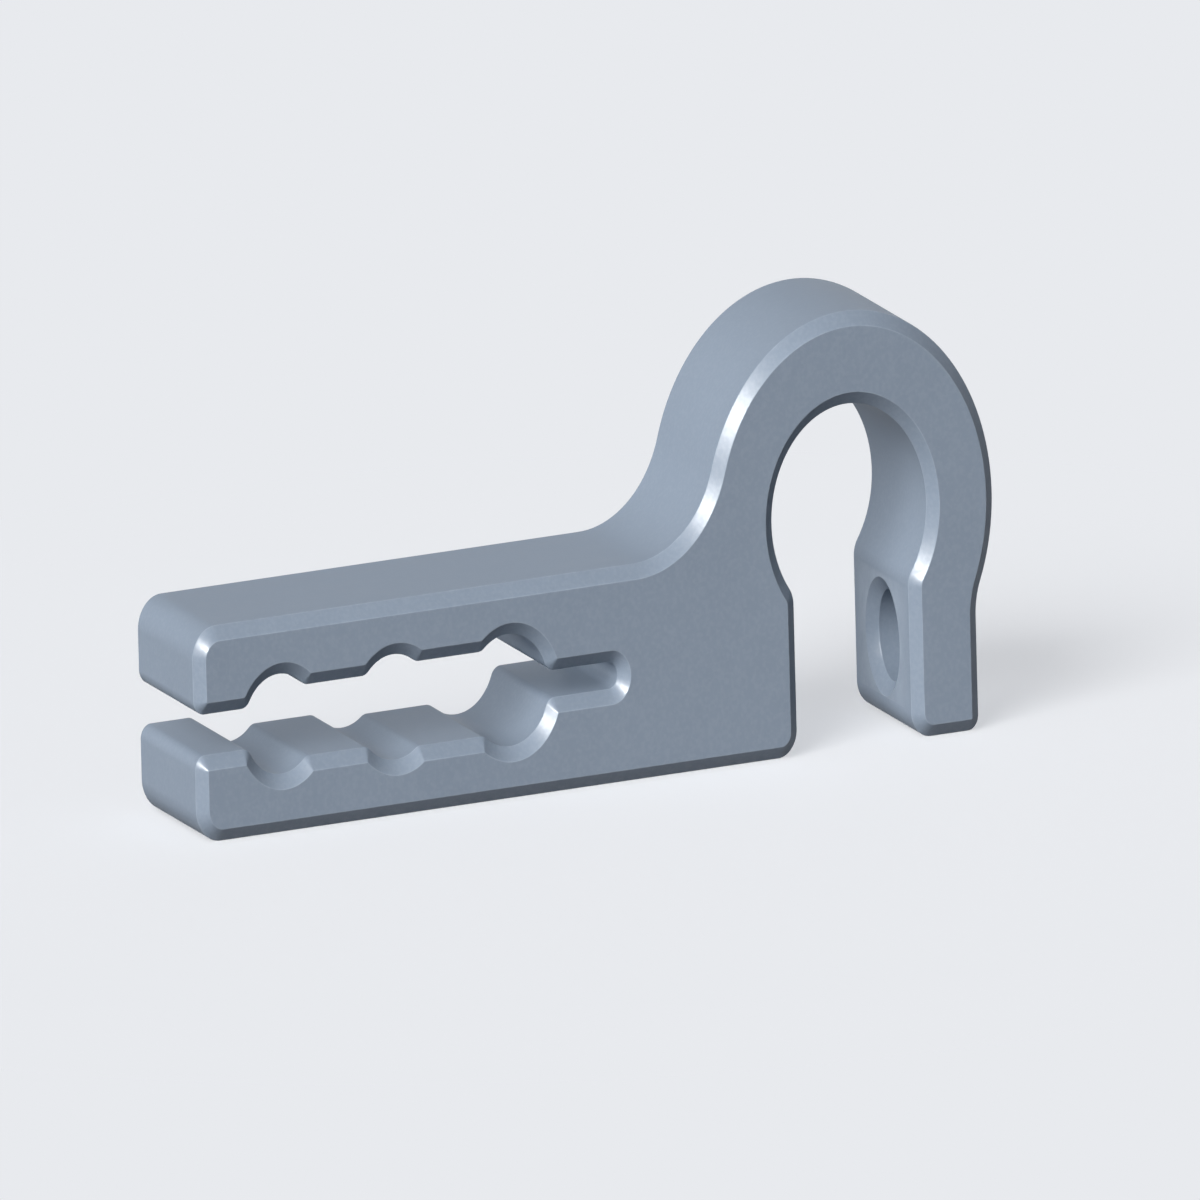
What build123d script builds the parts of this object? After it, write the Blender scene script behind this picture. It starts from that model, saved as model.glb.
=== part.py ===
from build123d import *
import math
import os

# Desk cable clip, moulded in one piece, in millimetres.
# X runs along the jaws towards the hook, Y across the clip, Z up from the face it rests on.
# The profile is drawn with the jaw tips at x = 0, then moved so that the middle of the
# resting face is the origin.

# Section and rims
thickness = 16.0
rim_chamfer = 1.0
rim_corner_radius = 0.1

# Bar that splits into the two cable jaws
bar_height = 16.0
nose_radius = 2.5
heel_radius = 2.0

# Gap between the jaws: three lands, three round cable seats and a relief slot
tip_gap = 3.0
first_land_gap = 5.25
second_land_gap = 6.25
slot_gap = 2.0
first_seat_x = 9.0
seat_pitch = 12.0
small_seat_bore = 7.4
middle_seat_bore = 7.8
large_seat_bore = 8.3
slot_length = 11.4
root_length = 18.6

# Hook that snaps over a round rail
rail_bore = 16.2
rail_rise = 1.4
hook_wall = 6.9
throat_width = 12.0
throat_lip_radius = 2.0
shoulder_radius = 9.0
neck_radius = 6.2

# Leg with its screw hole
leg_wall = 7.0
toe_radius = 2.0
screw_bore = 6.8
screw_mouth_chamfer = 1.0
screw_mouth_clearance = 0.02

# Small corners take little more than the chamfer, so that the rims are almost pointed there
small_corner_radius = rim_chamfer + rim_corner_radius

seat_bores = (small_seat_bore, middle_seat_bore, large_seat_bore)
seat_xs = [first_seat_x + seat_pitch * seat for seat in range(len(seat_bores))]
land_gaps = (tip_gap, first_land_gap, second_land_gap, slot_gap)
slot_end_x = seat_xs[-1] + slot_length
bar_length = slot_end_x + root_length
jaw_mid_z = bar_height / 2

rail_x = bar_length + throat_width / 2
rail_z = bar_height + rail_rise
hook_radius = rail_bore / 2 + hook_wall
leg_inner_x = bar_length + throat_width
leg_outer_x = leg_inner_x + leg_wall
overall_length = rail_x + hook_radius
screw_mouth_radius = screw_bore / 2 + screw_mouth_chamfer
screw_z = toe_radius + screw_mouth_radius + screw_mouth_clearance
past = 1.0


def block(x_low, x_high, z_low, z_high):
    """Rectangle between two heights and two places along the profile."""
    middle = ((x_low + x_high) / 2, (z_low + z_high) / 2)
    return Pos(*middle) * Rectangle(x_high - x_low, z_high - z_low)


def disc(x, z, diameter):
    return Pos(x, z) * Circle(diameter / 2)


def half_chord(diameter, height):
    """Half the width of a circle at a height above or below its middle."""
    return math.sqrt((diameter / 2)**2 - height**2)


def rounded(outline, radius, places):
    """Outline with the corner nearest to each place rounded."""
    corners = [outline.vertices().sort_by_distance((x, z, 0))[0] for x, z in places]
    return fillet(corners, radius)


def hook_and_bar():
    """Bar, hook and leg in one outline, open at the throat."""
    outline = block(0, bar_length, 0, bar_height)
    outline += disc(rail_x, rail_z, 2 * hook_radius)
    outline += block(leg_inner_x, leg_outer_x, 0, rail_z)
    outline -= block(bar_length, leg_inner_x, -past, rail_z)
    outline -= disc(rail_x, rail_z, rail_bore)

    shoulder_x = rail_x - half_chord(2 * hook_radius, rail_rise)
    neck_z = rail_z - half_chord(2 * hook_radius, leg_outer_x - rail_x)
    lip_z = rail_z - half_chord(rail_bore, throat_width / 2)
    outline = rounded(outline, shoulder_radius, [(shoulder_x, bar_height)])
    outline = rounded(outline, neck_radius, [(leg_outer_x, neck_z)])
    outline = rounded(outline, throat_lip_radius, [(bar_length, lip_z), (leg_inner_x, lip_z)])
    outline = rounded(outline, nose_radius, [(0, 0), (0, bar_height)])
    outline = rounded(outline, heel_radius, [(bar_length, 0)])
    outline = rounded(outline, toe_radius, [(leg_inner_x, 0)])
    return rounded(outline, small_corner_radius, [(leg_outer_x, 0)])


def jaw_gap():
    """Stepped lands, round seats on the middle line and a slot with a round end."""
    slot_centre_x = slot_end_x - slot_gap / 2
    land_ends = [-past] + seat_xs + [slot_centre_x]
    gap = disc(slot_centre_x, jaw_mid_z, slot_gap)
    for height, x_low, x_high in zip(land_gaps, land_ends, land_ends[1:]):
        gap += block(x_low, x_high, jaw_mid_z - height / 2, jaw_mid_z + height / 2)
    for x, bore in zip(seat_xs, seat_bores):
        gap += disc(x, jaw_mid_z, bore)
    return gap


def land_corners():
    """Both jaws' corners at the open end and at the two sides of each seat."""
    corners = [(0, tip_gap / 2)]
    for x, bore, near_gap, far_gap in zip(seat_xs, seat_bores, land_gaps, land_gaps[1:]):
        corners.append((x - half_chord(bore, near_gap / 2), near_gap / 2))
        corners.append((x + half_chord(bore, far_gap / 2), far_gap / 2))
    return [(x, jaw_mid_z + side * height) for x, height in corners for side in (1, -1)]


def clip_profile():
    outline = hook_and_bar() - jaw_gap()
    return rounded(outline, small_corner_radius, land_corners())


def screw_hole():
    """Turned cutter along X: a plain bore that opens at both ends of the leg."""
    bore = screw_bore / 2
    mouth = screw_mouth_radius + past
    depth = screw_mouth_chamfer
    half_profile = Polyline(
        (leg_inner_x - past, 0),
        (leg_inner_x - past, mouth),
        (leg_inner_x + depth, bore),
        (leg_outer_x - depth, bore),
        (leg_outer_x + past, mouth),
        (leg_outer_x + past, 0),
        close=True,
    )
    return Pos(0, 0, screw_z) * revolve(make_face(half_profile), axis=Axis.X)


def cable_clip():
    body = extrude(Plane.XZ * clip_profile(), amount=thickness / 2, both=True)
    faces = body.faces().sort_by(Axis.Y)
    body = chamfer(faces[0].edges() + faces[-1].edges(), rim_chamfer)
    return Pos(-overall_length / 2, 0, 0) * (body - screw_hole())


os.makedirs("parts", exist_ok=True)
export_step(cable_clip(), "parts/cable_clip.step")
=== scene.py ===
"""Studio picture of a moulded desk cable clip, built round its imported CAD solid."""

import logging
import math
from collections.abc import Callable, Sequence
from dataclasses import dataclass
from enum import Enum
from typing import Any

import bmesh
import bpy
from mathutils import Matrix, Vector


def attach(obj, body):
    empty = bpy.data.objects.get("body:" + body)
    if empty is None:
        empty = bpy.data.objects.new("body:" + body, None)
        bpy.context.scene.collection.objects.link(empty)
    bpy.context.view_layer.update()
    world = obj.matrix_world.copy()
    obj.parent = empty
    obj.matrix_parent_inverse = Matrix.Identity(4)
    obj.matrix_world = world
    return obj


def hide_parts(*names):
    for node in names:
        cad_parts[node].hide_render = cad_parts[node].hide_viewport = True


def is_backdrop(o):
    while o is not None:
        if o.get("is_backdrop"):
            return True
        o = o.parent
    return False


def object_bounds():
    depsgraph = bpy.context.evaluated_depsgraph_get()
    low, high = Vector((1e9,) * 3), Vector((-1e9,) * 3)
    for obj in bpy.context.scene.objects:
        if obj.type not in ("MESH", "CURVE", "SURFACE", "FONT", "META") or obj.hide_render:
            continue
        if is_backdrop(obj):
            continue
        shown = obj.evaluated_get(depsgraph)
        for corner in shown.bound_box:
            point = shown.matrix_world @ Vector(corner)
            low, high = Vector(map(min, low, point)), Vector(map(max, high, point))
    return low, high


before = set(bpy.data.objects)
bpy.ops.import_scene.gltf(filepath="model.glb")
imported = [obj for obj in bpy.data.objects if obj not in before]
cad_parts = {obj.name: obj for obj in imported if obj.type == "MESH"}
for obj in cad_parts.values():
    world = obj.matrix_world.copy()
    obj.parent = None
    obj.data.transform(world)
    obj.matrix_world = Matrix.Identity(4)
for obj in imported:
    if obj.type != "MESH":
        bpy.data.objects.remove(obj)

LOG = logging.getLogger("cable_clip")
MM = 0.001
CLIP_NODE = "cable_clip"
# Marks the softened edges for a paler line that is partly rubbed wear and partly a painted highlight
EDGE_ATTRIBUTE = "edge_wear_and_highlight"

Point = tuple[float, float]
Place = tuple[float, float, float]
Colour = tuple[float, float, float]
Span = tuple[float, float]

UNIT: Span = (0.0, 1.0)
# The value that noise wavers round
NOISE_MIDDLE = 0.5
# The zenith's part of what a level floor gets from a sky that blends evenly with height
ZENITH_SHARE = 2 / 3


class Bend(Enum):
    """How a corner of the outline turns, seen with the plastic on the left."""

    OUTWARD = 1
    INWARD = -1


@dataclass(frozen=True)
class Straight:
    """A straight stretch of the outline, travelled along its direction.

    Attributes:
        start: A place on its line.
        heading: Its direction, with a length of 1.
    """

    start: Point
    heading: Point

    def left(self, distance: float) -> "Straight":
        """Returns the same stretch moved to its left."""
        x, z = self.start
        dx, dz = self.heading
        return Straight((x - dz * distance, z + dx * distance), self.heading)

    def foot(self, point: Point) -> Point:
        """Returns the place on the stretch's line that is nearest to a point."""
        dx, dz = self.heading
        along = (point[0] - self.start[0]) * dx + (point[1] - self.start[1]) * dz
        return (self.start[0] + dx * along, self.start[1] + dz * along)


@dataclass(frozen=True)
class Round:
    """A round stretch of the outline.

    Attributes:
        centre: The middle of its circle.
        radius: That circle's radius.
        clockwise: Which way round it is travelled.
    """

    centre: Point
    radius: float
    clockwise: bool

    def left(self, distance: float) -> "Round":
        """Returns the same stretch moved to its left."""
        change = distance if self.clockwise else -distance
        return Round(self.centre, self.radius + change, self.clockwise)

    def foot(self, point: Point) -> Point:
        """Returns the place on the circle that is nearest to a point."""
        dx, dz = point[0] - self.centre[0], point[1] - self.centre[1]
        scale = self.radius / math.hypot(dx, dz)
        return (self.centre[0] + dx * scale, self.centre[1] + dz * scale)


Stretch = Straight | Round


def crossings(first: Stretch, second: Stretch) -> list[Point]:
    """Finds where two stretches of outline cross when drawn on without end.

    Args:
        first: One stretch.
        second: The other stretch.

    Returns:
        One or two crossing places.
    """
    if isinstance(first, Straight) and isinstance(second, Straight):
        (x, z), (dx, dz) = first.start, first.heading
        (other_x, other_z), (other_dx, other_dz) = second.start, second.heading
        slant = dx * other_dz - dz * other_dx
        along = ((other_x - x) * other_dz - (other_z - z) * other_dx) / slant
        return [(x + dx * along, z + dz * along)]
    if isinstance(first, Round) and isinstance(second, Round):
        apart = math.dist(first.centre, second.centre)
        reach = (first.radius**2 - second.radius**2 + apart**2) / (2 * apart)
        towards_x = (second.centre[0] - first.centre[0]) / apart
        towards_z = (second.centre[1] - first.centre[1]) / apart
        centre, radius = first.centre, first.radius
        base = (centre[0] + towards_x * reach, centre[1] + towards_z * reach)
        heading = (-towards_z, towards_x)
    else:
        line, ring = (first, second) if isinstance(first, Straight) else (second, first)
        centre, radius = ring.centre, ring.radius
        base, heading = line.foot(centre), line.heading
    half = math.sqrt(max(radius**2 - math.dist(base, centre)**2, 0.0))
    return [(base[0] + heading[0] * shift, base[1] + heading[1] * shift) for shift in (half, -half)]


@dataclass(frozen=True)
class Corner:
    """Where one stretch of the outline gives way to the next.

    Attributes:
        near: A place near the corner, to pick it from the stretches' crossings.
        radius: The radius that rounds it, or 0 where the stretches are tangent there.
        bend: Whether the corner sticks out of the plastic or goes into it.
    """

    near: Point
    radius: float
    bend: Bend = Bend.OUTWARD


@dataclass(frozen=True)
class Sample:
    """One step of a walk round the outline.

    Attributes:
        place: Where it is.
        outward: The direction that points out of the plastic there, with a length of 1.
    """

    place: Point
    outward: Point

    def inset(self, depth: float) -> Point:
        """Returns the place moved into the plastic."""
        return (self.place[0] - self.outward[0] * depth, self.place[1] - self.outward[1] * depth)


@dataclass
class ClipOutline:
    """Side view of the clip, in millimetres, with the jaw tips at x = 0 and the desk at z = 0.

    Attributes:
        bar_length: How far the bar reaches, up to the throat.
        bar_height: How high it is.
        nose_radius: The outer corners of the jaw tips.
        heel_radius: The bar's lower corner at the throat.
        toe_radius: The leg's lower corner at the throat.
        small_radius: The corners that take little more than the rim's chamfer.
        land_gaps: How far the jaws stand apart before each seat, and then in the slot.
        seat_bores: How wide the round cable seats are.
        first_seat_x: The middle of the seat nearest to the tips.
        seat_pitch: How far the seats are apart.
        slot_end_x: Where the relief slot ends.
        rail_bore: How wide the hook's bore is.
        rail_z: The height of the bore's middle.
        hook_radius: The hook's outer radius.
        throat_width: How wide the hook is open at the bottom.
        lip_radius: The two corners between the throat and the bore.
        leg_wall: How thick the leg is.
        shoulder_radius: The hollow between bar and hook.
        neck_radius: The hollow between hook and leg.
        flatness: How far a chord may cut inside its arc.
        widest_turn: The largest turn from one chord to the next, in radians.
    """

    bar_length: float = 63.0
    bar_height: float = 16.0
    nose_radius: float = 2.5
    heel_radius: float = 2.0
    toe_radius: float = 2.0
    small_radius: float = 1.1
    land_gaps: tuple[float, ...] = (3.0, 5.25, 6.25, 2.0)
    seat_bores: tuple[float, ...] = (7.4, 7.8, 8.3)
    first_seat_x: float = 9.0
    seat_pitch: float = 12.0
    slot_end_x: float = 44.4
    rail_bore: float = 16.2
    rail_z: float = 17.4
    hook_radius: float = 15.0
    throat_width: float = 12.0
    lip_radius: float = 2.0
    leg_wall: float = 7.0
    shoulder_radius: float = 9.0
    neck_radius: float = 6.2
    flatness: float = 0.004
    widest_turn: float = math.radians(6.5)

    @property
    def leg_inner_x(self) -> float:
        """Where the leg faces the throat."""
        return self.bar_length + self.throat_width

    @property
    def leg_outer_x(self) -> float:
        """The leg's outer face."""
        return self.leg_inner_x + self.leg_wall

    @property
    def rail(self) -> Point:
        """The middle of the hook's bore."""
        return (self.bar_length + self.throat_width / 2, self.rail_z)

    def jaw(self, side: int) -> list[tuple[Stretch, Corner]]:
        """Lists one jaw's gripping side, from its tip to the slot's round end.

        Args:
            side: 1 for the upper jaw, which is travelled inwards, and -1 for the lower one.

        Returns:
            Stretches and the corner that ends each, in order from the tip.
        """
        middle = self.bar_height / 2
        listed: list[tuple[Stretch, Corner]] = []
        slot_centre = self.slot_end_x - self.land_gaps[-1] / 2
        for at, gap in enumerate(self.land_gaps):
            level = middle + side * gap / 2
            land = Straight((0.0, level), (float(side), 0.0))
            if at == len(self.seat_bores):
                listed.append((land, Corner((slot_centre, level), 0.0)))
                break
            bore = self.seat_bores[at]
            x = self.first_seat_x + self.seat_pitch * at
            reach = math.sqrt(bore**2 - gap**2) / 2
            listed.append((land, Corner((x - reach, level), self.small_radius)))
            next_gap = self.land_gaps[at + 1]
            reach = math.sqrt(bore**2 - next_gap**2) / 2
            seat = Round((x, middle), bore / 2, True)
            listed.append((seat, Corner((x + reach, middle + side * next_gap / 2), self.small_radius)))
        return listed

    def stretches(self) -> list[tuple[Stretch, Corner]]:
        """Lists the whole outline, with the plastic on its left.

        Returns:
            Each stretch with the corner that ends it.
        """
        tip = self.land_gaps[0] / 2
        middle = self.bar_height / 2
        rail_x, rail_z = self.rail
        lip_z = rail_z - math.sqrt((self.rail_bore / 2)**2 - (self.throat_width / 2)**2)
        neck_z = rail_z - math.sqrt(self.hook_radius**2 - (self.leg_outer_x - rail_x)**2)
        shoulder_x = rail_x - math.sqrt(self.hook_radius**2 - (rail_z - self.bar_height)**2)
        right, left, up, down = (1.0, 0.0), (-1.0, 0.0), (0.0, 1.0), (0.0, -1.0)
        slot_gap = self.land_gaps[-1]
        slot_centre = (self.slot_end_x - slot_gap / 2, middle)
        upper, lower = self.jaw(1), self.jaw(-1)
        slot_end = Round(slot_centre, slot_gap / 2, True)
        slot_exit = Corner((slot_centre[0], middle - slot_gap / 2), 0.0)
        backwards = [stretch for stretch, _ in reversed(lower)]
        corners = [corner for _, corner in reversed(lower)][1:]
        corners.append(Corner((0.0, middle - tip), self.small_radius))
        return [
            (Straight((0.0, 0.0), right), Corner((self.bar_length, 0.0), self.heel_radius)),
            (Straight((self.bar_length, 0.0), up), Corner((self.bar_length, lip_z), self.lip_radius)),
            (
                Round(self.rail, self.rail_bore / 2, True),
                Corner((self.leg_inner_x, lip_z), self.lip_radius),
            ),
            (Straight((self.leg_inner_x, 0.0), down), Corner((self.leg_inner_x, 0.0), self.toe_radius)),
            (Straight((0.0, 0.0), right), Corner((self.leg_outer_x, 0.0), self.small_radius)),
            (
                Straight((self.leg_outer_x, 0.0), up),
                Corner((self.leg_outer_x, neck_z), self.neck_radius, Bend.INWARD),
            ),
            (
                Round(self.rail, self.hook_radius, False),
                Corner((shoulder_x, self.bar_height), self.shoulder_radius, Bend.INWARD),
            ),
            (Straight((0.0, self.bar_height), left), Corner((0.0, self.bar_height), self.nose_radius)),
            (Straight((0.0, 0.0), down), Corner((0.0, middle + tip), self.small_radius)),
            *upper,
            (slot_end, slot_exit),
            *zip(backwards, corners),
            (Straight((0.0, 0.0), down), Corner((0.0, 0.0), self.nose_radius)),
        ]

    def samples(self) -> list[Sample]:
        """Walks round the outline once.

        Returns:
            Samples in order, close enough for round edges to look round.
        """
        listed = self.stretches()
        followers = listed[1:] + listed[:1]
        fillets = [
            self.fillet(stretch, follower, corner)
            for (stretch, corner), (follower, _) in zip(listed, followers)
        ]
        walked: list[Sample] = []
        for at, (stretch, _) in enumerate(listed):
            begin, end = fillets[at - 1][2], fillets[at][1]
            walked += self.along(stretch, begin, end)
            rounding, first, last = fillets[at]
            if rounding is not None:
                walked += self.along(rounding, first, last)
        return walked

    def fillet(
        self, before: Stretch, after: Stretch, corner: Corner
    ) -> tuple[Round | None, Point, Point]:
        """Rounds one corner.

        Args:
            before: The stretch that arrives there.
            after: The stretch that leaves.
            corner: Its place, radius and bend.

        Returns:
            The rounding, or None for a tangent joint, and where it begins and ends.
        """
        if corner.radius == 0.0:
            return None, corner.near, corner.near
        shift = corner.bend.value * corner.radius
        centres = crossings(before.left(shift), after.left(shift))
        centre = min(centres, key=lambda place: math.dist(place, corner.near))
        rounding = Round(centre, corner.radius, corner.bend is Bend.INWARD)
        return rounding, before.foot(centre), after.foot(centre)

    def along(self, stretch: Stretch, begin: Point, end: Point) -> list[Sample]:
        """Samples a stretch from its beginning up to, but without, its end.

        Args:
            stretch: What is travelled.
            begin: Where it starts.
            end: Where the next one starts.

        Returns:
            The samples in order.
        """
        if isinstance(stretch, Straight):
            return [Sample(begin, (stretch.heading[1], -stretch.heading[0]))]
        x, z = stretch.centre
        first = math.atan2(begin[1] - z, begin[0] - x)
        turn = (math.atan2(end[1] - z, end[0] - x) - first) % math.tau
        if stretch.clockwise:
            turn -= math.tau
        step_turn = min(self.widest_turn, 2 * math.acos(1 - self.flatness / stretch.radius))
        count = max(2, math.ceil(abs(turn) / step_turn))
        facing = -1.0 if stretch.clockwise else 1.0
        walked = []
        for step in range(count):
            angle = first + turn * step / count
            spoke = (math.cos(angle), math.sin(angle))
            place = (x + spoke[0] * stretch.radius, z + spoke[1] * stretch.radius)
            walked.append(Sample(place, (spoke[0] * facing, spoke[1] * facing)))
        return walked


def softened(corners: Sequence[Point], radius: float, steps: int) -> list[Point]:
    """Rounds the inner corners of an open path.

    Args:
        corners: The path's corners, in order.
        radius: The radius of each rounding.
        steps: How many chords each rounding gets.

    Returns:
        The path's points, with its two ends as given.
    """
    path = [corners[0]]
    for before, corner, after in zip(corners, corners[1:], corners[2:]):
        arrive = Vector(corner) - Vector(before)
        leave = Vector(after) - Vector(corner)
        arrive.normalize()
        leave.normalize()
        turn = arrive.angle(leave)
        cut = radius * math.tan(turn / 2)
        side = 1.0 if arrive.cross(leave) > 0 else -1.0
        begin = Vector(corner) - arrive * cut
        centre = begin + Vector((-arrive.y, arrive.x)) * radius * side
        for step in range(steps + 1):
            spoke = begin - centre
            spoke.rotate(Matrix.Rotation(side * turn * step / steps, 2))
            path.append(tuple(centre + spoke))
    path.append(corners[-1])
    return path


def skinned(rows: list[list[Place]], name: str) -> bpy.types.Mesh:
    """Skins rings of places one after the other, and closes both ends.

    Args:
        rows: The rings, in order, all with the same number of places.
        name: What the mesh is called.

    Returns:
        The closed mesh.
    """
    mesh = bmesh.new()
    rings = [[mesh.verts.new(place) for place in row] for row in rows]
    for near, far in zip(rings, rings[1:]):
        for at in range(len(near)):
            after = (at + 1) % len(near)
            mesh.faces.new((near[at], near[after], far[after], far[at]))
    mesh.faces.new(reversed(rings[0]))
    mesh.faces.new(rings[-1])
    bmesh.ops.recalc_face_normals(mesh, faces=mesh.faces[:])
    made = bpy.data.meshes.new(name)
    mesh.to_mesh(made)
    mesh.free()
    return made


def largest_turns(mesh: bmesh.types.BMesh) -> list[float]:
    """Measures how strongly the surface turns at each vertex.

    Args:
        mesh: The mesh, with its vertices numbered.

    Returns:
        The largest turn between two faces at each vertex, in radians.
    """
    turns = [0.0] * len(mesh.verts)
    for edge in mesh.edges:
        if len(edge.link_faces) == 2:
            turn = edge.calc_face_angle(0.0)
            for vertex in edge.verts:
                turns[vertex.index] = max(turns[vertex.index], turn)
    return turns


class Sock:
    """A shader value that takes part in Python arithmetic."""

    def __init__(self, graph: "Graph", socket: bpy.types.NodeSocket | None) -> None:
        """Wraps an output socket of a graph, or none for a node that has no output."""
        self.graph = graph
        self.socket = socket

    def _math(self, operation: str, first: Any, second: Any) -> "Sock":
        """Adds a Math node and returns its value."""
        return self.graph.node("ShaderNodeMath", {"operation": operation}, {0: first, 1: second})

    def __add__(self, other: Any) -> "Sock":
        """Returns the sum."""
        return self._math("ADD", self, other)

    def __radd__(self, other: Any) -> "Sock":
        """Returns the sum."""
        return self._math("ADD", other, self)

    def __sub__(self, other: Any) -> "Sock":
        """Returns the difference."""
        return self._math("SUBTRACT", self, other)

    def __rsub__(self, other: Any) -> "Sock":
        """Returns the difference."""
        return self._math("SUBTRACT", other, self)

    def __mul__(self, other: Any) -> "Sock":
        """Returns the product."""
        return self._math("MULTIPLY", self, other)

    def __rmul__(self, other: Any) -> "Sock":
        """Returns the product."""
        return self._math("MULTIPLY", other, self)


class Graph:
    """A material's or world's node tree, emptied and built up by calls."""

    def __init__(self, owner: bpy.types.Material | bpy.types.World) -> None:
        """Empties the owner's node tree."""
        owner.use_nodes = True
        self.tree = owner.node_tree
        self.tree.nodes.clear()

    def node(
        self,
        kind: str,
        settings: dict[str, Any] | None = None,
        inputs: dict[str | int, Any] | None = None,
        output: str | int = 0,
    ) -> Sock:
        """Adds a node.

        Args:
            kind: The node's type.
            settings: Its properties, set before its sockets are looked up.
            inputs: Values or links, by socket name or number.
            output: The socket to hand back.

        Returns:
            The chosen output.
        """
        made = self.tree.nodes.new(kind)
        for name, value in (settings or {}).items():
            setattr(made, name, value)
        for name, value in (inputs or {}).items():
            if isinstance(value, Sock):
                self.tree.links.new(value.socket, made.inputs[name])
            elif isinstance(value, tuple) and len(value) == 3 and made.inputs[name].type == "RGBA":
                made.inputs[name].default_value = (*value, 1.0)
            else:
                made.inputs[name].default_value = value
        return Sock(self, made.outputs[output] if made.outputs else None)

    def mix(self, share: Any, first: Any, second: Any) -> Sock:
        """Blends two colours.

        Args:
            share: How much of the second shows.
            first: One colour or link.
            second: The other.

        Returns:
            The blended colour.
        """
        # Inputs 6 and 7 and output 2 are this node's colour sockets.
        settings = {"data_type": "RGBA", "blend_type": "MIX"}
        return self.node("ShaderNodeMix", settings, {0: share, 6: first, 7: second}, 2)

    def noise(self, place: Sock, grain: float, detail: float) -> Sock:
        """Adds a soft noise of a given grain.

        Args:
            place: Where it is sampled, in metres.
            grain: The size of one lump, in metres.
            detail: How many finer layers it holds.

        Returns:
            A value round 0.5.
        """
        inputs = {"Vector": place, "Scale": 1 / grain, "Detail": detail}
        return self.node("ShaderNodeTexNoise", {"noise_dimensions": "3D"}, inputs, "Fac")

    def band(self, value: Sock, span: Span, result: Span = UNIT) -> Sock:
        """Stretches a span of a value to another span, and clamps it there.

        Args:
            value: What is stretched.
            span: The two ends of what is stretched.
            result: What those ends become.

        Returns:
            The stretched value.
        """
        inputs = {0: value, 1: span[0], 2: span[1], 3: result[0], 4: result[1]}
        return self.node("ShaderNodeMapRange", {"clamp": True}, inputs)


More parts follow.
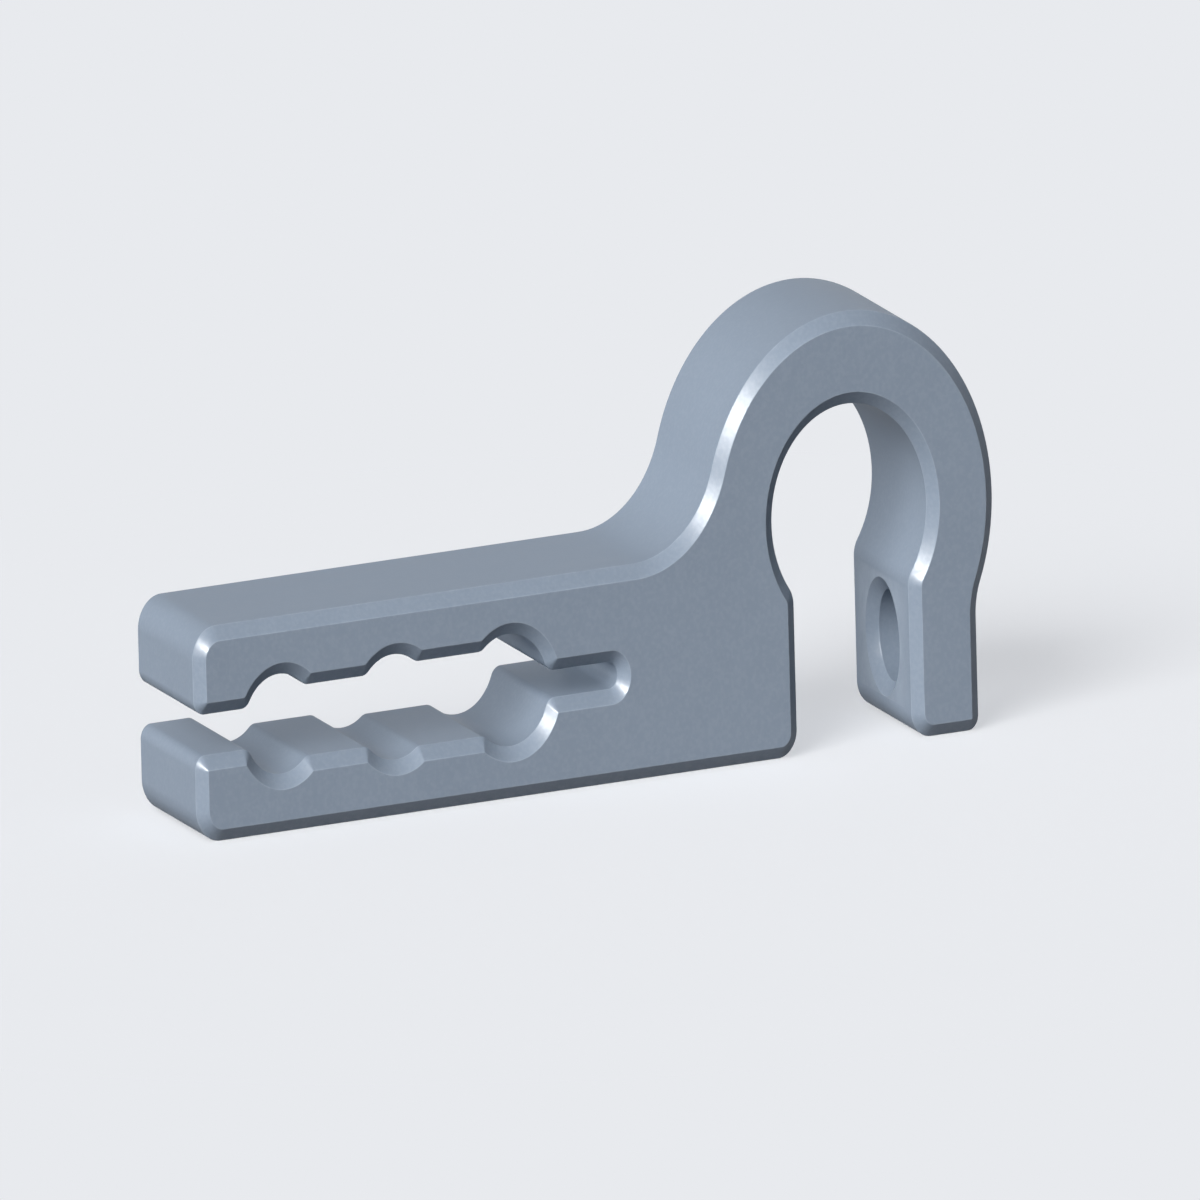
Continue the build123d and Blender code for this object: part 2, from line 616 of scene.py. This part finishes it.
@dataclass(frozen=True)
class MouldedPlastic:
    """Slate blue-grey plastic from a finely eroded mould.

    Attributes:
        body: Its colour.
        pale: The colour of the grain's tops and of the paler edge line, which is partly rubbed wear and
            partly a painted highlight.
        deep: The colour of its darker clouds.
        cloud: The size of the slow changes of tone, in metres.
        fleck: The size of the small ones, in metres.
        grain: The size of the mould's grain, in metres.
        cloud_layers: How many finer layers clouds and flecks hold.
        grain_layers: How many finer layers the grain holds.
        cloud_share: How much of the shade is clouds, where the rest is flecks.
        tone_span: The shades between which the deep colour turns into the body's.
        top_span: How high the grain stands where it starts and ends to turn pale.
        top_paleness: How pale its tops become.
        wear_highlight_span: The flecks between which the edges' paler line goes from weak to strong.
        wear_highlight_paleness: How pale that line is at those two ends; it is partly rubbed wear and
            partly a painted highlight.
        roughness: How matt the body is.
        shine_span: The shades between which the body turns more matt.
        shine_change: How much the roughness changes over them.
        grain_shine: How much it changes from the grain's pits to its tops.
        rub_shine: How much smoother a rubbed edge is.
        skin: How much of the smooth skin that the mould leaves on it shows.
        skin_roughness: How far that skin spreads a glint.
        skin_at_grazing: How much of the skin still shows where it is seen along the surface.
        facing_span: How far the surface turns away while the skin fades to that.
        pore_span: The grain's heights over which the skin changes.
        pore_skin: How much of the skin the pits and the tops have.
        grain_height: How deep the relief is, in metres.
        relief_grain: How much of it is grain, where the rest is flecks.
        relief_strength: How strongly it shows.
        matt_gloss: How strong the body's own broad gloss is.
        refraction: The refractive index of body and skin.
    """

    body: Colour = (0.200, 0.243, 0.301)
    pale: Colour = (0.257, 0.304, 0.366)
    deep: Colour = (0.191, 0.233, 0.290)
    cloud: float = 0.011
    fleck: float = 0.0016
    grain: float = 0.00034
    cloud_layers: float = 2.0
    grain_layers: float = 1.0
    cloud_share: float = 0.6
    tone_span: Span = (0.36, 0.6)
    top_span: Span = (0.5, 0.8)
    top_paleness: float = 0.16
    wear_highlight_span: Span = (0.35, 0.6)
    wear_highlight_paleness: Span = (0.35, 0.85)
    roughness: float = 0.52
    shine_span: Span = (0.35, 0.65)
    shine_change: Span = (-0.04, 0.04)
    grain_shine: float = 0.12
    rub_shine: float = 0.08
    skin: float = 0.9
    skin_roughness: float = 0.33
    skin_at_grazing: float = 0.05
    facing_span: Span = (0.1, 0.75)
    pore_span: Span = (0.38, 0.6)
    pore_skin: Span = (0.8, 1.1)
    grain_height: float = 0.000018
    relief_grain: float = 0.8
    relief_strength: float = 0.6
    matt_gloss: float = 0.06
    refraction: float = 1.5

    def make(self, name: str) -> bpy.types.Material:
        """Builds the material.

        Args:
            name: What it is called.

        Returns:
            The material.
        """
        material = bpy.data.materials.new(name)
        graph = Graph(material)
        place = graph.node("ShaderNodeTexCoord", output="Object")
        edge = graph.node("ShaderNodeAttribute", {"attribute_name": EDGE_ATTRIBUTE}, output="Fac")
        clouds = graph.noise(place, self.cloud, self.cloud_layers)
        flecks = graph.noise(place, self.fleck, self.cloud_layers)
        grain = graph.noise(place, self.grain, self.grain_layers)

        shade = clouds * self.cloud_share + flecks * (1 - self.cloud_share)
        tone = graph.mix(graph.band(shade, self.tone_span), self.deep, self.body)
        tops = graph.band(grain, self.top_span, (0.0, self.top_paleness))
        # The paler line along the softened edges is partly rubbed wear and partly a painted highlight.
        wear_and_highlight = edge * graph.band(flecks, self.wear_highlight_span, self.wear_highlight_paleness)
        tone = graph.mix(wear_and_highlight, graph.mix(tops, tone, self.pale), self.pale)

        roughness = self.roughness + graph.band(shade, self.shine_span, self.shine_change)
        roughness = roughness + (grain - NOISE_MIDDLE) * self.grain_shine - wear_and_highlight * self.rub_shine
        facing = graph.node("ShaderNodeLayerWeight", output="Facing")
        skin = graph.band(facing, self.facing_span, (self.skin, self.skin_at_grazing))
        skin = skin * graph.band(grain, self.pore_span, self.pore_skin)
        relief = grain * self.relief_grain + flecks * (1 - self.relief_grain)
        bump = graph.node(
            "ShaderNodeBump",
            None,
            {"Strength": self.relief_strength, "Distance": self.grain_height, "Height": relief},
            "Normal",
        )
        shader = graph.node(
            "ShaderNodeBsdfPrincipled",
            None,
            {
                "Base Color": tone,
                "Roughness": roughness,
                "IOR": self.refraction,
                "Specular IOR Level": self.matt_gloss,
                "Coat Weight": skin,
                "Coat Roughness": self.skin_roughness,
                "Coat IOR": self.refraction,
                "Normal": bump,
            },
        )
        graph.node("ShaderNodeOutputMaterial", None, {"Surface": shader})
        return material


@dataclass
class Clip:
    """The one moulded piece: a profile with chamfered rims and a screw hole in its leg.

    Attributes:
        outline: Its side view.
        finish: What it is made of.
        thickness: Its size across, in millimetres.
        rim_chamfer: The chamfer round both faces and at the hole's mouths, in millimetres.
        edge_softness: The radius that the mould leaves on the chamfers' edges, in millimetres.
        edge_steps: How many chords that radius gets.
        screw_bore: How wide the hole is, in millimetres.
        screw_z: The height of its middle, in millimetres.
        screw_sides: How many sides its round walls have.
        drill_lift: How far outside the leg's faces the mouths end, in millimetres, so that no
            face of the drill lies in a face of the leg.
        drill_reach: How far the drill sticks out of the leg, in millimetres.
        merge_distance: Points closer than this become one, in metres.
        flat_turn: Faces that turn less than this become one, in radians.
        sharp_turn: Edges that turn more than this are shaded as sharp, in radians.
        unmarked_turn: Where the surface turns less than this it gets no paler edge line, in radians.
        full_mark_turn: Where it turns more than this that line, partly rubbed wear and partly painted
            highlight, is at full strength, in radians.
    """

    outline: ClipOutline
    finish: MouldedPlastic
    thickness: float = 16.0
    rim_chamfer: float = 1.0
    edge_softness: float = 0.16
    edge_steps: int = 4
    screw_bore: float = 6.8
    screw_z: float = 6.42
    screw_sides: int = 96
    drill_lift: float = 0.01
    drill_reach: float = 2.0
    merge_distance: float = 8e-6
    flat_turn: float = math.radians(0.05)
    sharp_turn: float = math.radians(32.0)
    unmarked_turn: float = math.radians(7.0)
    full_mark_turn: float = math.radians(11.0)

    @property
    def origin_x(self) -> float:
        """The outline's x that lies at the frame's origin."""
        return (self.outline.rail[0] + self.outline.hook_radius) / 2

    def to_frame(self, x: float, y: float, z: float) -> Place:
        """Returns a place of the outline in the frame, in metres."""
        return ((x - self.origin_x) * MM, y * MM, z * MM)

    def section(self) -> list[Point]:
        """Lists how deep the surface lies inside the outline, from the front face to the back.

        Returns:
            Depths and places across the clip.
        """
        half, rim = self.thickness / 2, self.rim_chamfer
        on_face = (rim * 2, -half)
        corners = [on_face, (rim, -half), (0.0, rim - half), (0.0, 0.0)]
        front = softened(corners, self.edge_softness, self.edge_steps)[1:-1]
        return front + [(depth, -across) for depth, across in reversed(front)]

    def moulding(self) -> bpy.types.Mesh:
        """Builds the closed body without its hole.

        Returns:
            The mesh, in the frame.
        """
        samples = self.outline.samples()
        rows = []
        for depth, across in self.section():
            places = [sample.inset(depth) for sample in samples]
            rows.append([self.to_frame(x, across, z) for x, z in places])
        return skinned(rows, "clip_moulding")

    def drill(self) -> bpy.types.Mesh:
        """Builds the turned cutter of the screw hole, with both mouths chamfered.

        Returns:
            The cutter's mesh, in the frame.
        """
        bore = self.screw_bore / 2
        mouth = bore + self.rim_chamfer
        inner, outer = self.outline.leg_inner_x, self.outline.leg_outer_x
        face = inner - self.drill_lift
        corners = [
            (face, mouth + self.rim_chamfer),
            (face, mouth),
            (inner + self.rim_chamfer, bore),
            ((inner + outer) / 2, bore),
        ]
        path = softened(corners, self.edge_softness, self.edge_steps)[1:]
        path.insert(0, (inner - self.drill_reach, path[0][1]))
        path += [(inner + outer - x, radius) for x, radius in reversed(path[:-1])]
        rings = []
        for x, radius in path:
            ring = []
            for step in range(self.screw_sides):
                angle = math.tau * step / self.screw_sides
                y, z = radius * math.cos(angle), self.screw_z + radius * math.sin(angle)
                ring.append(self.to_frame(x, y, z))
            rings.append(ring)
        return skinned(rings, "screw_drill")

    def simplify(self, mesh: bmesh.types.BMesh) -> None:
        """Closes up points and flat edges that the cut leaves without need.

        Args:
            mesh: The drilled mesh.
        """
        bmesh.ops.remove_doubles(mesh, verts=mesh.verts, dist=self.merge_distance)
        bmesh.ops.dissolve_limit(
            mesh, angle_limit=self.flat_turn, verts=mesh.verts, edges=mesh.edges
        )
        mesh.verts.index_update()

    def mark_wear_and_highlight(self, made: bpy.types.Mesh, turns: list[float]) -> None:
        """Stores how strongly each vertex takes the paler edge line, which is partly rubbed wear and
        partly a painted highlight.

        Args:
            made: The mesh.
            turns: How strongly it turns at each vertex, in radians.
        """
        # Paler edge line: partly rubbed wear, partly a painted highlight
        stored = made.attributes.new(EDGE_ATTRIBUTE, "FLOAT", "POINT")
        span = self.full_mark_turn - self.unmarked_turn
        for at, turn in enumerate(turns):
            stored.data[at].value = min(1.0, max(0.0, (turn - self.unmarked_turn) / span))

    def make(self) -> bpy.types.Object:
        """Builds, drills and dresses the clip.

        Returns:
            The finished piece.
        """
        scene = bpy.context.scene
        body = bpy.data.objects.new("clip_body", self.moulding())
        cutter = bpy.data.objects.new("screw_drill", self.drill())
        for thing in (body, cutter):
            scene.collection.objects.link(thing)
        cut = body.modifiers.new("screw_hole", "BOOLEAN")
        cut.operation, cut.solver, cut.object = "DIFFERENCE", "EXACT", cutter
        current = bpy.context.evaluated_depsgraph_get()
        drilled = bpy.data.meshes.new_from_object(body.evaluated_get(current), depsgraph=current)
        body.modifiers.clear()
        body.data = drilled
        bpy.data.objects.remove(cutter)

        mesh = bmesh.new()
        mesh.from_mesh(drilled)
        self.simplify(mesh)
        mesh.to_mesh(drilled)
        self.mark_wear_and_highlight(drilled, largest_turns(mesh))
        mesh.free()
        for polygon in drilled.polygons:
            polygon.use_smooth = True
        drilled.set_sharp_from_angle(angle=self.sharp_turn)
        drilled.materials.clear()
        drilled.materials.append(self.finish.make("moulded_slate_plastic"))
        even = body.modifiers.new("flat_faces_stay_flat", "WEIGHTED_NORMAL")
        even.mode, even.keep_sharp = "FACE_AREA", True
        return body


class Lights(Enum):
    """Which part of a surface's look a lamp serves."""

    BODY = "body"
    GLINTS = "glints"


@dataclass(frozen=True)
class SoftLamp:
    """A large round lamp so far off that it lights the whole floor evenly.

    Attributes:
        name: What it is called.
        azimuth: Where it stands, in degrees: 0 is in front and positive is to the right.
        elevation: Its height above the horizon, in degrees.
        spread: How wide it looks from the clip, in degrees.
        level: How bright it shows a white card that faces it.
        lights: Whether it lights the body colour or only shows in glossy plastic.
        shadow: Whether it throws shadows.
    """

    name: str
    azimuth: float
    elevation: float
    spread: float
    level: float
    lights: Lights
    shadow: bool = True

    def make(self) -> None:
        """Hangs the lamp."""
        lamp = bpy.data.lights.new(self.name, "SUN")
        lamp.energy = self.level * math.pi
        lamp.angle = math.radians(self.spread)
        lamp.use_shadow = self.shadow
        holder = bpy.data.objects.new(self.name, lamp)
        turn, rise = math.radians(self.azimuth), math.radians(self.elevation)
        across = math.cos(rise)
        away = Vector((math.sin(turn) * across, -math.cos(turn) * across, math.sin(rise)))
        holder.location = away
        holder.rotation_mode = "QUATERNION"
        holder.rotation_quaternion = (-away).to_track_quat("-Z", "Y")
        holder.visible_glossy = self.lights is Lights.GLINTS
        holder.visible_diffuse = self.lights is Lights.BODY
        bpy.context.scene.collection.objects.link(holder)


@dataclass(frozen=True)
class Studio:
    """Pale floor, soft lamps and a surrounding light that fades upwards.

    The floor is painted so that the lamps bring it to the backdrop's colour. It also passes into
    the backdrop away from the clip, because in low views the lowest rays start below it, and its
    edge there would show as a faint line.

    Attributes:
        backdrop: What the camera and reflections see of floor and background.
        bounce: The floor as it lights the clip from below, darker so that undersides stay deep.
        horizon: The light that comes from all round, low down.
        zenith: The light from straight above, weaker, so that the top stays a calm grey.
        shadow_lift: How much of the backdrop's colour the floor keeps in the clip's shadow.
        floor_side: The length of the floor's sides, in metres.
        floor_whole: How far from the origin the floor starts to pass into the backdrop, in metres.
        floor_gone: How far from it only the backdrop's colour still shows, in metres.
        key: The lamp that throws the shadow.
        fill: More light from its side, with no shadow, so that hollows don't turn too dark.
        glint: The narrow lamp that draws the glints on the chamfers that face it.
        rim: The weak low lamp from behind, with no shadow.
    """

    backdrop: Colour = (0.807, 0.823, 0.855)
    bounce: Colour = (0.18, 0.18, 0.19)
    horizon: Colour = (0.31, 0.31, 0.32)
    zenith: Colour = (0.01, 0.02, 0.04)
    shadow_lift: float = 0.25
    floor_side: float = 6.0
    floor_whole: float = 0.055
    floor_gone: float = 0.118
    key: SoftLamp = SoftLamp("key_lamp", -54.0, 31.0, 36.0, 0.62, Lights.BODY)
    fill: SoftLamp = SoftLamp("fill_lamp", -54.0, 32.0, 36.0, 0.95, Lights.BODY, False)
    glint: SoftLamp = SoftLamp("glint_lamp", -50.6, 33.0, 12.0, 1.7, Lights.GLINTS)
    rim: SoftLamp = SoftLamp("rim_lamp", 150.0, 6.0, 24.0, 0.50, Lights.BODY, False)

    def seen(self, graph: Graph) -> Sock:
        """Returns 1 for rays that carry a picture: from the camera, or by gloss or glass."""
        ray = "ShaderNodeLightPath"
        camera = graph.node(ray, output="Is Camera Ray")
        gloss = graph.node(ray, output="Is Glossy Ray")
        glass = graph.node(ray, output="Is Transmission Ray")
        return graph.band(camera + gloss + glass, UNIT)

    def paint(self) -> Colour:
        """Returns the floor's own colour, which the lamps bring to the backdrop's."""
        lamps = (self.key, self.fill, self.rim)
        lit = sum(lamp.level * math.sin(math.radians(lamp.elevation)) for lamp in lamps)
        sky = [
            low * (1 - ZENITH_SHARE) + high * ZENITH_SHARE
            for low, high in zip(self.horizon, self.zenith)
        ]
        red, green, blue = (shown / (lit + above) for shown, above in zip(self.backdrop, sky))
        return (red, green, blue)

    def floor(self) -> None:
        """Lays the floor."""
        half = self.floor_side / 2
        mesh = bpy.data.meshes.new("floor")
        corners = [(-half, -half, 0.0), (half, -half, 0.0), (half, half, 0.0), (-half, half, 0.0)]
        mesh.from_pydata(corners, [], [(0, 1, 2, 3)])
        plane = bpy.data.objects.new("floor", mesh)
        bpy.context.scene.collection.objects.link(plane)
        plane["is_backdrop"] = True
        material = bpy.data.materials.new("pale_floor")
        graph = Graph(material)
        shown = self.seen(graph)
        place = graph.node("ShaderNodeTexCoord", output="Object")
        away = graph.node("ShaderNodeVectorMath", {"operation": "LENGTH"}, {0: place}, "Value")
        share = graph.band(away, (self.floor_whole, self.floor_gone), (self.shadow_lift, 1.0))
        tone = graph.mix(shown, self.bounce, self.paint())
        matt = graph.node("ShaderNodeBsdfDiffuse", None, {"Color": tone})
        glow = graph.node("ShaderNodeEmission", None, {"Color": self.backdrop, "Strength": 1.0})
        shader = graph.node("ShaderNodeMixShader", None, {0: shown * share, 1: matt, 2: glow})
        graph.node("ShaderNodeOutputMaterial", None, {"Surface": shader})
        mesh.materials.append(material)

    def world(self) -> None:
        """Sets the surrounding light, and the backdrop's colour beyond the floor."""
        world = bpy.data.worlds.new("studio")
        graph = Graph(world)
        direction = graph.node("ShaderNodeTexCoord", output="Generated")
        height = graph.node("ShaderNodeSeparateXYZ", None, {"Vector": direction}, "Z")
        sky = graph.mix(graph.band(height, UNIT), self.horizon, self.zenith)
        tone = graph.mix(self.seen(graph), sky, self.backdrop)
        light = graph.node("ShaderNodeBackground", None, {"Color": tone, "Strength": 1.0})
        graph.node("ShaderNodeOutputWorld", None, {"Surface": light})
        bpy.context.scene.world = world

    def make(self) -> None:
        """Builds floor, surroundings and lamps."""
        self.floor()
        self.world()
        for lamp in (self.key, self.fill, self.glint, self.rim):
            lamp.make()


@dataclass(frozen=True)
class PictureCamera:
    """The parallel view of the reference picture.

    The picture shows everything 4/3 as tall as it is, as if it had been squeezed sideways to a
    square. The camera's upright axis leans along the view by the angle whose cosine is 3/4,
    which draws heights 4/3 as long without a change of any size in the scene.

    Attributes:
        right: The picture's rightward direction, in the frame.
        up: Its upward direction.
        pixels: The picture's width and height.
        pixels_per_mm: Its scale along its width.
        origin_pixel: Where the frame's origin falls.
        stretch: How much taller than wide it draws things.
        distance: How far the camera stands off, in metres.
        nearest: How close to it things start to show, in metres.
        farthest: How far from it they still show, in metres.
    """

    right: Place = (0.92541, -0.37758, -0.03264)
    up: Place = (0.10225, 0.16581, 0.98085)
    pixels: float = 1200.0
    pixels_per_mm: float = 10.3026
    origin_pixel: Point = (570.02, 769.25)
    stretch: float = 4 / 3
    distance: float = 0.6
    nearest: float = 0.01
    farthest: float = 20.0

    def make(self) -> None:
        """Builds the camera and makes it the scene's own."""
        lens = bpy.data.cameras.new("picture_camera")
        lens.type = "ORTHO"
        lens.ortho_scale = self.pixels / self.pixels_per_mm * MM
        lens.clip_start, lens.clip_end = self.nearest, self.farthest
        right = Vector(self.right).normalized()
        up = Vector(self.up)
        up = (up - right * up.dot(right)).normalized()
        back = right.cross(up)
        sideways = (self.pixels / 2 - self.origin_pixel[0]) / self.pixels_per_mm * MM
        upwards = (self.origin_pixel[1] - self.pixels / 2) / self.pixels_per_mm / self.stretch * MM
        place = right * sideways + up * upwards + back * self.distance
        cosine = 1 / self.stretch
        leaning = up * cosine + back * math.sqrt(1 - cosine**2)
        stand = bpy.data.objects.new("camera_stand", None)
        camera = bpy.data.objects.new("picture_camera", lens)
        for thing in (stand, camera):
            bpy.context.scene.collection.objects.link(thing)
        camera.parent = stand
        columns = Matrix((right, leaning, back)).transposed().to_4x4()
        camera.matrix_parent_inverse = Matrix.Translation(place) @ columns
        bpy.context.scene.camera = camera


def corners_of(box: Callable[[], tuple[Vector, Vector]]) -> list[list[float]]:
    """Returns a box's two corners as plain lists."""
    return [list(corner) for corner in box()]


def main() -> None:
    """Builds the clip and the studio, and works out the CAD solid's box and the finished scene's box.
    """
    logging.basicConfig(level=logging.INFO, format="%(name)s: %(message)s")
    cad_box = corners_of(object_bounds)

    clip = Clip(ClipOutline(), MouldedPlastic()).make()
    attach(clip, "root")
    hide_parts(CLIP_NODE)
    LOG.info("%s: %d vertices, %d faces", clip.name, len(clip.data.vertices), len(clip.data.polygons))

    Studio().make()
    PictureCamera().make()
    bpy.context.scene.view_settings.view_transform = "Standard"

    {"cad": cad_box, "visual": corners_of(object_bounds)}


if __name__ == "__main__":
    main()
